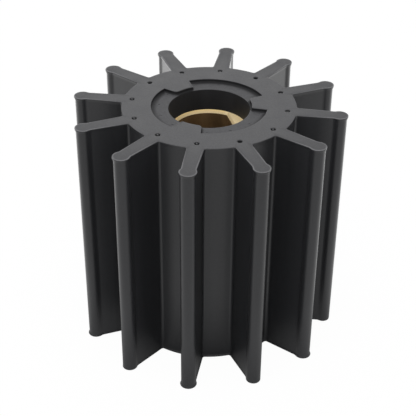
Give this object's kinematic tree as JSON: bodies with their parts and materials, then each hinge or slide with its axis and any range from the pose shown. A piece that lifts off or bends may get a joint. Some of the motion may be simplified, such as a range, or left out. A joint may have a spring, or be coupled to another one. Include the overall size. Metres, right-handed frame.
{
  "type": "flexible pump impeller",
  "caption": "Flexible rubber pump impeller with radial round-tipped vanes, a tabbed ring recess in the hub and a bonded brass bush with a flat-sided shaft bore.",
  "frame": {"origin": "centre of the lower end face, on the bore axis", "axes": "+Z along the bore axis towards the end with the tabbed recess, +X through the middle of one tab"},
  "size_m": [0.0922, 0.0922, 0.0876],
  "materials": {
    "black_rubber": "matte moulded rubber, ground end faces",
    "brass": "turned end face, plain bore"
  },
  "bodies": {
    "root": {"rubber_impeller": "black_rubber", "brass_insert": "brass"}
  },
  "joints": []
}
